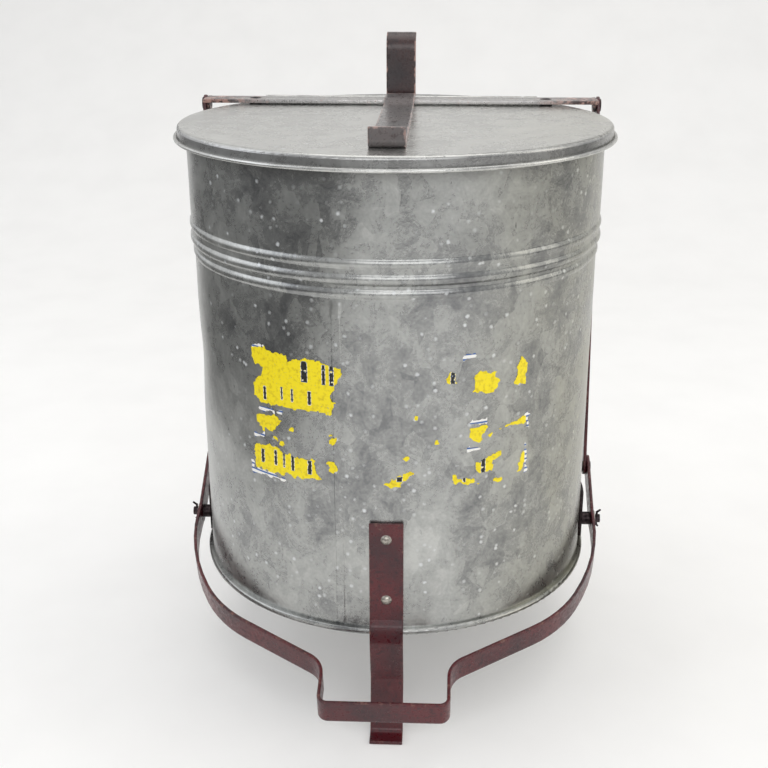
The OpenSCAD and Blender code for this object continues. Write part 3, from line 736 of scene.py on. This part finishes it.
# %% The zinc material
def zinc(name, dark, middle, light, rough, speck, olive, stretch, lid_shade_and_dirt, lid_shade_from, lid_shade_to, skirt_shade):
    made, tree = new_material(name)
    place_node = add_node(tree, "TexCoord")
    spot = place_node.outputs["Object"]
    tall = add_node(tree, "Mapping", {"Scale": (1.0, 1.0, stretch)}, Vector=spot).outputs[0]
    cloud = add_node(tree, "TexNoise", {"Scale": PER_MM / 90, "Detail": 3.0, "Roughness": 0.55,
                                        "Distortion": 0.6}, Vector=tall)
    patch = add_node(tree, "TexNoise", {"Scale": PER_MM / 20, "Detail": 6.0, "Roughness": 0.74,
                                        "Distortion": 0.9}, Vector=tall)
    grain = add_node(tree, "TexNoise", {"Scale": PER_MM / 2.6, "Detail": 2.0}, Vector=spot)
    crystal = add_node(tree, "TexVoronoi", {"Scale": PER_MM / 13, "Randomness": 1.0}, Vector=tall)
    crystal_grey = add_node(tree, "RGBToBW", {}, in_0=crystal.outputs["Color"])
    two = add_node(tree, "Mix", {"Factor": 0.48}, A=cloud.outputs["Fac"], B=patch.outputs["Fac"])
    three = add_node(tree, "Mix", {"Factor": 0.10}, A=two.outputs[0], B=crystal_grey.outputs[0])
    four = add_node(tree, "Mix", {"Factor": 0.13}, A=three.outputs[0], B=grain.outputs["Fac"])
    tone = add_node(tree, "ValToRGB", {"stops": [(0.38, srgb(dark)), (0.50, srgb(middle)),
                                                 (0.64, srgb(light))]}, Fac=four.outputs[0])
    # white rust: small soft specks, gathered in some places
    cells = add_node(tree, "TexVoronoi", {"Scale": PER_MM / 8, "Randomness": 1.0}, Vector=spot)
    cell_number = add_node(tree, "RGBToBW", {}, in_0=cells.outputs["Color"])
    chosen = add_node(tree, "MapRange", {"From Min": 0.62 - speck, "From Max": 0.72 - speck},
                      Value=cell_number.outputs[0])
    ragged = add_node(tree, "Math", {"operation": "MULTIPLY_ADD"}, in_0=grain.outputs["Fac"],
                      in_1=0.3, in_2=cells.outputs["Distance"])
    round_spot = add_node(tree, "MapRange", {"From Min": 0.40, "From Max": 0.26},
                          Value=ragged.outputs[0])
    gather = add_node(tree, "TexNoise", {"Scale": PER_MM / 45, "Detail": 2.0}, Vector=spot)
    gathered = add_node(tree, "MapRange", {"From Min": 0.42, "From Max": 0.58, "To Min": 0.25,
                                           "To Max": 1.0}, Value=gather.outputs["Fac"])
    speck_mask = add_node(tree, "Math", {"operation": "MULTIPLY"}, in_0=round_spot.outputs[0],
                          in_1=chosen.outputs[0])
    speck_mask = add_node(tree, "Math", {"operation": "MULTIPLY"}, in_0=speck_mask.outputs[0],
                          in_1=gathered.outputs[0])
    whitened = mix_colour(tree, speck_mask.outputs[0], tone.outputs[0], srgb("DADCDD"))
    # dark scuffs and short scratches
    scuff_map = add_node(tree, "Mapping", {"Rotation": (0.3, 0.5, 0.9), "Scale": (1, 2.4, 0.8)},
                         Vector=spot)
    scuff = add_node(tree, "TexNoise", {"Scale": PER_MM / 9, "Detail": 4.0, "Roughness": 0.7},
                     Vector=scuff_map.outputs[0])
    scuff_mask = add_node(tree, "MapRange", {"From Min": 0.655, "From Max": 0.74,
                                             "To Max": 0.6}, Value=scuff.outputs["Fac"])
    scuffed = mix_colour(tree, scuff_mask.outputs[0], whitened.outputs[2], srgb("45464A"))
    # an oily olive tint, stronger on the right-hand side
    split = add_node(tree, "SeparateXYZ", {}, in_0=spot)
    to_right = add_node(tree, "MapRange", {"From Min": 0.05, "From Max": 0.17, "To Max": olive},
                     Value=split.outputs["X"])
    uneven = add_node(tree, "Math", {"operation": "MULTIPLY"}, in_0=to_right.outputs[0],
                      in_1=cloud.outputs["Fac"])
    tinted = mix_colour(tree, uneven.outputs[0], scuffed.outputs[2], srgb("C9C29A"), "MULTIPLY")
    # painted shade cast by the lid on the wall below it, mixed with some real dirt, thinning out
    # to the right
    under_lid_band = add_node(tree, "MapRange", {"From Min": lid_shade_from, "From Max": lid_shade_to},
                         Value=split.outputs["Z"])
    thinning = add_node(tree, "MapRange", {"From Min": 0.0, "From Max": 0.17,
                                           "To Min": 0.9, "To Max": 0.5},
                        Value=split.outputs["X"])
    blotchy = add_node(tree, "MapRange", {"From Min": 0.38, "From Max": 0.62, "To Min": 0.45},
                       Value=patch.outputs["Fac"])
    lid_shade_mask = add_node(tree, "Math", {"operation": "MULTIPLY"}, in_0=under_lid_band.outputs[0],
                         in_1=thinning.outputs[0])
    lid_shade_mask = add_node(tree, "Math", {"operation": "MULTIPLY"}, in_0=lid_shade_mask.outputs[0],
                         in_1=blotchy.outputs[0])
    # the lid's painted shadow, with some dirt, darkens the zinc here
    lid_shade_mixed = mix_colour(tree, lid_shade_mask.outputs[0], tinted.outputs[2], srgb(lid_shade_and_dirt))
    roughness = add_node(tree, "MapRange", {"From Min": 0.3, "From Max": 0.7,
                                            "To Min": rough - 0.08, "To Max": rough + 0.12},
                         Value=four.outputs[0])
    rougher = add_node(tree, "Math", {"operation": "MULTIPLY_ADD"}, in_0=speck_mask.outputs[0],
                       in_1=0.3, in_2=roughness.outputs[0])
    height = add_node(tree, "Math", {"operation": "MULTIPLY_ADD"}, in_0=patch.outputs["Fac"],
                      in_1=2.0, in_2=grain.outputs["Fac"])
    bump = add_node(tree, "Bump", {"Strength": 0.16, "Distance": 0.0006}, Height=height.outputs[0])
    # painted shade: the lid's upright skirt is made darker than its flat top, as less light from
    # above falls on it
    under_edge = add_node(tree, "MapRange", {"From Min": 0.4962, "From Max": 0.4950},
                          Value=split.outputs["Z"])
    over_bead = add_node(tree, "MapRange", {"From Min": 0.4880, "From Max": 0.4888,
                                            "To Max": skirt_shade}, Value=split.outputs["Z"])
    skirt_shade_mask = add_node(tree, "Math", {"operation": "MULTIPLY"}, in_0=under_edge.outputs[0],
                          in_1=over_bead.outputs[0])
    shaded = mix_colour(tree, skirt_shade_mask.outputs[0], lid_shade_mixed.outputs[2], srgb("CACACC"), "MULTIPLY")
    shader = add_node(tree, "BsdfPrincipled", {"Metallic": 0.9}, Base_Color=shaded.outputs[2],
                      Roughness=rougher.outputs[0], Normal=bump.outputs[0])
    finish_material(tree, shader)
    return made


# the band of painted shade and dirt under the lid lies between two heights above the floor, in
# metres
drum_zinc = zinc("galvanised sheet, weathered", dark="7A7B7C", middle="A3A4A2", light="BFC0BD",
                 rough=0.26, speck=0.16, olive=0.9, stretch=0.85,
                 lid_shade_and_dirt="4A4746", lid_shade_from=0.473, lid_shade_to=0.492, skirt_shade=0.0)
# the same zinc as the drum, painted lighter because the light from above falls full on the lid's
# flat top
lid_zinc_lit = zinc("galvanised lid, painted lighter for top light", dark="A6A6A4", middle="C2C2BF", light="D4D4D1",
                rough=0.25, speck=0.0, olive=0.3, stretch=1.0,
                lid_shade_and_dirt="C8C8C6", lid_shade_from=0.6, lid_shade_to=0.7, skirt_shade=1.0)
print("zinc materials made")

# %% [markdown]
# ## Red machine enamel, worn
# The legs and the hoop were dipped or brushed in a deep red enamel: a thin
# gloss coat over steel. Handling rubs it to a dark maroon, grime takes the gloss
# off in patches, and the edges lose the coat first and show brown primer and
# bare steel. The same recipe with darker colours serves the oily straps on top.

# %% The enamel material
def enamel(name, fresh, worn_colour, grime_colour, bare, gloss, edge_wear):
    made, tree = new_material(name)
    spot = add_node(tree, "TexCoord").outputs["Object"]
    cloud = add_node(tree, "TexNoise", {"Scale": PER_MM / 38, "Detail": 4.0, "Roughness": 0.6},
                     Vector=spot)
    fine = add_node(tree, "TexNoise", {"Scale": PER_MM / 3.4, "Detail": 3.0, "Roughness": 0.65},
                    Vector=spot)
    edge = add_node(tree, "Attribute", {"attribute_name": "edge"}).outputs["Fac"]
    coat = add_node(tree, "ValToRGB", {"stops": [(0.36, srgb(worn_colour)), (0.62, srgb(fresh))]},
                    Fac=cloud.outputs["Fac"])
    grime_mask = add_node(tree, "MapRange", {"From Min": 0.52, "From Max": 0.66, "To Max": 0.75},
                          Value=fine.outputs["Fac"])
    grimy = mix_colour(tree, grime_mask.outputs[0], coat.outputs[0], srgb(grime_colour))
    chip = add_node(tree, "TexNoise", {"Scale": PER_MM / 7, "Detail": 5.0, "Roughness": 0.7},
                    Vector=spot)
    exposed = add_node(tree, "Math", {"operation": "MULTIPLY_ADD"}, in_0=edge, in_1=edge_wear,
                       in_2=chip.outputs["Fac"])
    chip_mask = add_node(tree, "MapRange", {"From Min": 0.72, "From Max": 0.80},
                         Value=exposed.outputs[0])
    chipped = mix_colour(tree, chip_mask.outputs[0], grimy.outputs[2], srgb(bare))
    # where a part is rubbed all over, the steel shows except in a few patches
    rub = add_node(tree, "Attribute", {"attribute_name": "rub"}).outputs["Fac"]
    split = add_node(tree, "SeparateXYZ", {}, in_0=spot)
    from_middle = add_node(tree, "Math", {"operation": "ABSOLUTE"}, in_0=split.outputs["X"])
    not_ends = add_node(tree, "MapRange", {"From Min": 0.165, "From Max": 0.120},
                        Value=from_middle.outputs[0])
    handled = add_node(tree, "Math", {"operation": "MULTIPLY"}, in_0=rub, in_1=not_ends.outputs[0])
    left_over = add_node(tree, "MapRange", {"From Min": 0.70, "From Max": 0.60},
                         Value=chip.outputs["Fac"])
    steel_mask = add_node(tree, "Math", {"operation": "MULTIPLY"}, in_0=handled.outputs[0],
                          in_1=left_over.outputs[0])
    steely = mix_colour(tree, steel_mask.outputs[0], chipped.outputs[2], srgb("A9A7A6"))
    roughness = add_node(tree, "MapRange", {"From Min": 0.35, "From Max": 0.68,
                                            "To Min": gloss, "To Max": gloss + 0.28},
                         Value=fine.outputs["Fac"])
    height = add_node(tree, "Math", {"operation": "SUBTRACT"}, in_0=fine.outputs["Fac"],
                      in_1=chip_mask.outputs[0])
    bump = add_node(tree, "Bump", {"Strength": 0.25, "Distance": 0.0004}, Height=height.outputs[0])
    shader = add_node(tree, "BsdfPrincipled", {"IOR": 1.5, "Coat Weight": 0.15,
                                               "Coat Roughness": 0.18},
                      Base_Color=steely.outputs[2], Roughness=roughness.outputs[0],
                      Metallic=steel_mask.outputs[0], Normal=bump.outputs[0])
    finish_material(tree, shader)
    return made


red_enamel = enamel("red machine enamel, worn", fresh="540D16", worn_colour="390F17",
                    grime_colour="28141A", bare="6E463F", gloss=0.23, edge_wear=0.18)
dark_enamel = enamel("brown enamel under oil", fresh="42302F", worn_colour="2E2527",
                     grime_colour="241F22", bare="A58278", gloss=0.2, edge_wear=0.27)
print("enamel materials made")

# %% [markdown]
# ## Plain steels
# Pins, brackets and spacers are mild steel that oil has blackened. Rivet heads
# and washers are rubbed bright where cloths and boots pass. Both are metals
# with a mottled roughness.

# %% The steel materials
def plain_steel(name, dark, light, rough, size):
    made, tree = new_material(name)
    spot = add_node(tree, "TexCoord").outputs["Object"]
    mottle = add_node(tree, "TexNoise", {"Scale": PER_MM / size, "Detail": 4.0, "Roughness": 0.65},
                      Vector=spot)
    tone = add_node(tree, "ValToRGB", {"stops": [(0.36, srgb(dark)), (0.62, srgb(light))]},
                    Fac=mottle.outputs["Fac"])
    roughness = add_node(tree, "MapRange", {"From Min": 0.3, "From Max": 0.7,
                                            "To Min": rough + 0.12, "To Max": rough - 0.08},
                         Value=mottle.outputs["Fac"])
    bump = add_node(tree, "Bump", {"Strength": 0.2, "Distance": 0.0003},
                    Height=mottle.outputs["Fac"])
    shader = add_node(tree, "BsdfPrincipled", {"Metallic": 1.0}, Base_Color=tone.outputs[0],
                      Roughness=roughness.outputs[0], Normal=bump.outputs[0])
    finish_material(tree, shader)
    return made


black_steel = plain_steel("mild steel, oil-blackened", "231E20", "4C4344", 0.42, 3.0)
rivet_steel = plain_steel("steel rivet, rubbed bright", "7E7973", "B9B4AB", 0.3, 2.2)

# %% [markdown]
# ## Printed paper under varnish
# The label was a thick paper, printed yellow with a white and blue border, then
# varnished. The ink number on each point picks the colour: 0 yellow, 1 border,
# 2 dark print. Grime and rubbed spots let some grey through.

# %% The label material
label_paper, tree = new_material("varnished label paper, torn")
spot = add_node(tree, "TexCoord").outputs["Object"]
ink = add_node(tree, "Attribute", {"attribute_name": "ink"}).outputs["Fac"]
fine = add_node(tree, "TexNoise", {"Scale": PER_MM / 3, "Detail": 3.0}, Vector=spot)
split = add_node(tree, "SeparateXYZ", {}, in_0=spot)
line = add_node(tree, "Math", {"operation": "PINGPONG"}, in_0=split.outputs["Z"], in_1=0.0021)
line_mask = add_node(tree, "MapRange", {"From Min": 0.0012, "From Max": 0.0015},
                     Value=line.outputs[0])
border = mix_colour(tree, line_mask.outputs[0], srgb("EDEBE6"), srgb("3F63A0"))
is_border = add_node(tree, "MapRange", {"From Min": 0.45, "From Max": 0.55}, Value=ink)
is_dark = add_node(tree, "MapRange", {"From Min": 1.35, "From Max": 1.6}, Value=ink)
yellow = add_node(tree, "ValToRGB", {"stops": [(0.3, srgb("D8BE0C")), (0.5, srgb("F2DC0E"))]},
                  Fac=fine.outputs["Fac"])
first = mix_colour(tree, is_border.outputs[0], yellow.outputs[0], border.outputs[2])
second = mix_colour(tree, is_dark.outputs[0], first.outputs[2], srgb("1C1A10"))
rub = add_node(tree, "TexNoise", {"Scale": PER_MM / 1.6, "Detail": 2.0}, Vector=spot)
rub_mask = add_node(tree, "MapRange", {"From Min": 0.66, "From Max": 0.74, "To Max": 0.6},
                    Value=rub.outputs["Fac"])
rubbed = mix_colour(tree, rub_mask.outputs[0], second.outputs[2], srgb("8F8F89"))
bump = add_node(tree, "Bump", {"Strength": 0.3, "Distance": 0.0002}, Height=fine.outputs["Fac"])
shader = add_node(tree, "BsdfPrincipled", {"Roughness": 0.42, "IOR": 1.48},
                  Base_Color=rubbed.outputs[2], Normal=bump.outputs[0])
finish_material(tree, shader)

# %% Every piece gets its finish
FINISHES = {"galvanised_sheet": drum_zinc, "galvanised_lid": lid_zinc_lit, "red_enamel": red_enamel,
            "dark_enamel": dark_enamel, "black_steel": black_steel, "rivet_steel": rivet_steel}
node_slots = {s["node"]: s["material_slot"] for s in frame["record"]["subparts"]}
for name, piece in frame["nodes"].items():
    piece.data.materials.clear()
    piece.data.materials.append(FINISHES[node_slots[name]])
for piece in bpy.data.objects:
    if piece.type == "MESH" and not piece.data.materials:
        piece.data.materials.append(FINISHES.get(piece.get("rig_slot"), label_paper))

# %% [markdown]
# ## A pale room
# The can stands on a roll of white paper that curves up behind it, under soft
# daylight. Bare metal shows mostly what it mirrors, and a drum seen from above
# mirrors the ground around it. So the paper ends not far to the left, on a grey
# floor, and that floor is the dark band on the drum's left side. A little glow
# in the paper, like that of a light table, keeps the shadows thin.

# %% Floor and backdrop
paper_material, tree = new_material("white studio paper")
spot = add_node(tree, "TexCoord").outputs["Object"]
fibre = add_node(tree, "TexNoise", {"Scale": 9.0, "Detail": 3.0}, Vector=spot)
tone = add_node(tree, "ValToRGB", {"stops": [(0.3, srgb("E9E8E6")), (0.7, srgb("EDECEA"))]},
                Fac=fibre.outputs["Fac"])
shader = add_node(tree, "BsdfPrincipled", {"Roughness": 0.85, "Emission Strength": 0.13,
                                           "Emission Color": srgb("F3F2F1")},
                  Base_Color=tone.outputs[0])
finish_material(tree, shader)
floor_material, tree = new_material("grey screed floor")
spot = add_node(tree, "TexCoord").outputs["Object"]
clouded = add_node(tree, "TexNoise", {"Scale": 3.0, "Detail": 5.0}, Vector=spot)
tone = add_node(tree, "ValToRGB", {"stops": [(0.35, srgb("5E5D5B")), (0.65, srgb("72716E"))]},
                Fac=clouded.outputs["Fac"])
shader = add_node(tree, "BsdfPrincipled", {"Roughness": 0.6}, Base_Color=tone.outputs[0])
finish_material(tree, shader)
PAPER_LEFT, PAPER_RIGHT = -0.62, 2.4
sweep_path = [(-2.2, 0.0, PAPER_LEFT), (0.5, 0.0, PAPER_LEFT), (1.2, 0.0, -1.1)]
sweep_path += [(1.2 + 1.4 * sin(a), 1.4 - 1.4 * cos(a), -1.1 - a / 60) for a in range(6, 91, 6)]
sweep_path += [(2.6, 5.0, -2.6)]
sweep_points, sweep_faces = [], []
for y, z, left in sweep_path:
    sweep_points += [(left, y, z), (PAPER_RIGHT, y, z)]
for k in range(len(sweep_path) - 1):
    sweep_faces.append((2 * k, 2 * k + 1, 2 * k + 3, 2 * k + 2))
sweep_mesh = bpy.data.meshes.new("paper_sweep")
sweep_mesh.from_pydata(sweep_points, [], sweep_faces)
for polygon in sweep_mesh.polygons:
    polygon.use_smooth = True
paper_sweep = bpy.data.objects.new("paper_sweep", sweep_mesh)
bpy.context.scene.collection.objects.link(paper_sweep)
paper_sweep.data.materials.append(paper_material)
FLOOR_SIZE, UNDER_PAPER = 6.0, -0.002
floor_mesh = bpy.data.meshes.new("room_floor")
floor_corners = [(-1, -1), (1, -1), (1, 1), (-1, 1)]
floor_mesh.from_pydata([(FLOOR_SIZE * i, FLOOR_SIZE * k, UNDER_PAPER) for i, k in floor_corners],
                       [], [(0, 1, 2, 3)])
room_floor = bpy.data.objects.new("room_floor", floor_mesh)
bpy.context.scene.collection.objects.link(room_floor)
room_floor.data.materials.append(floor_material)

# %% Daylight and two soft windows
world = bpy.data.worlds.new("pale room")
bpy.context.scene.world = world
world.use_nodes = True
tree = world.node_tree
tree.nodes.clear()
direction = add_node(tree, "TexCoord").outputs["Generated"]
split = add_node(tree, "SeparateXYZ", {}, in_0=direction)
front = add_node(tree, "MapRange", {"From Min": -1.0, "From Max": 0.35,
                                    "To Min": 0.5, "To Max": 1.02}, Value=split.outputs["Y"])
sky = add_node(tree, "Background", {"Color": srgb("F4F5F7")}, Strength=front.outputs[0])
out = tree.nodes.new("ShaderNodeOutputWorld")
tree.links.new(sky.outputs[0], out.inputs["Surface"])


def soft_light(name, spot, aim, size, power, colour):
    lamp = bpy.data.lights.new(name, "AREA")
    lamp.shape = "RECTANGLE"
    lamp.size, lamp.size_y = size
    lamp.energy = power
    lamp.color = srgb(colour)[:3]
    holder = bpy.data.objects.new(name, lamp)
    bpy.context.scene.collection.objects.link(holder)
    holder.location = spot
    holder.rotation_euler = (Vector(aim) - Vector(spot)).to_track_quat("-Z", "Y").to_euler()


soft_light("ceiling", (0.2, 0.3, 2.8), (0, 0, 0.3), (2.6, 2.2), 17, "FFFDF8")
soft_light("left window", (-2.2, -0.5, 1.5), (0, 0, 0.35), (1.6, 1.6), 10, "F4F8FF")
soft_light("right window", (2.3, -0.2, 1.3), (0, 0, 0.35), (1.2, 1.6), 8, "FFFBF2")
soft_light("front window", (0.3, -2.4, 1.3), (0, 0, 0.3), (2.2, 1.4), 19, "FFFFFF")

# %% [markdown]
# ## The camera
# The view is from a standing person's height at about a metre, looking down by
# 21 degrees and a little from the right. The small shift sets the can slightly
# off the middle of the frame.

# %% The camera
VIEW_R, VIEW_H = 0.9964, 0.5386
VIEW_TURN, VIEW_DOWN = math.radians(2.4), 0.3662
camera = bpy.data.cameras.new("camera")
camera.sensor_width = 36.0
FOCAL_SHARE = 1140 / 768  # focal length as a share of the sensor's width
camera.lens = FOCAL_SHARE * camera.sensor_width
camera.shift_x = -0.01492
viewer = bpy.data.objects.new("camera", camera)
bpy.context.scene.collection.objects.link(viewer)
viewer.location = (VIEW_R * math.sin(VIEW_TURN), AXIS_Y - VIEW_R * math.cos(VIEW_TURN),
                   RIM_Z + VIEW_H)
viewer.rotation_euler = (math.pi / 2 - VIEW_DOWN, 0.0, VIEW_TURN)
bpy.context.scene.camera = viewer
bpy.context.scene.view_settings.view_transform = "Standard"
print("camera at", [round(v, 3) for v in viewer.location])

# %% The end
bpy.context.view_layer.update()
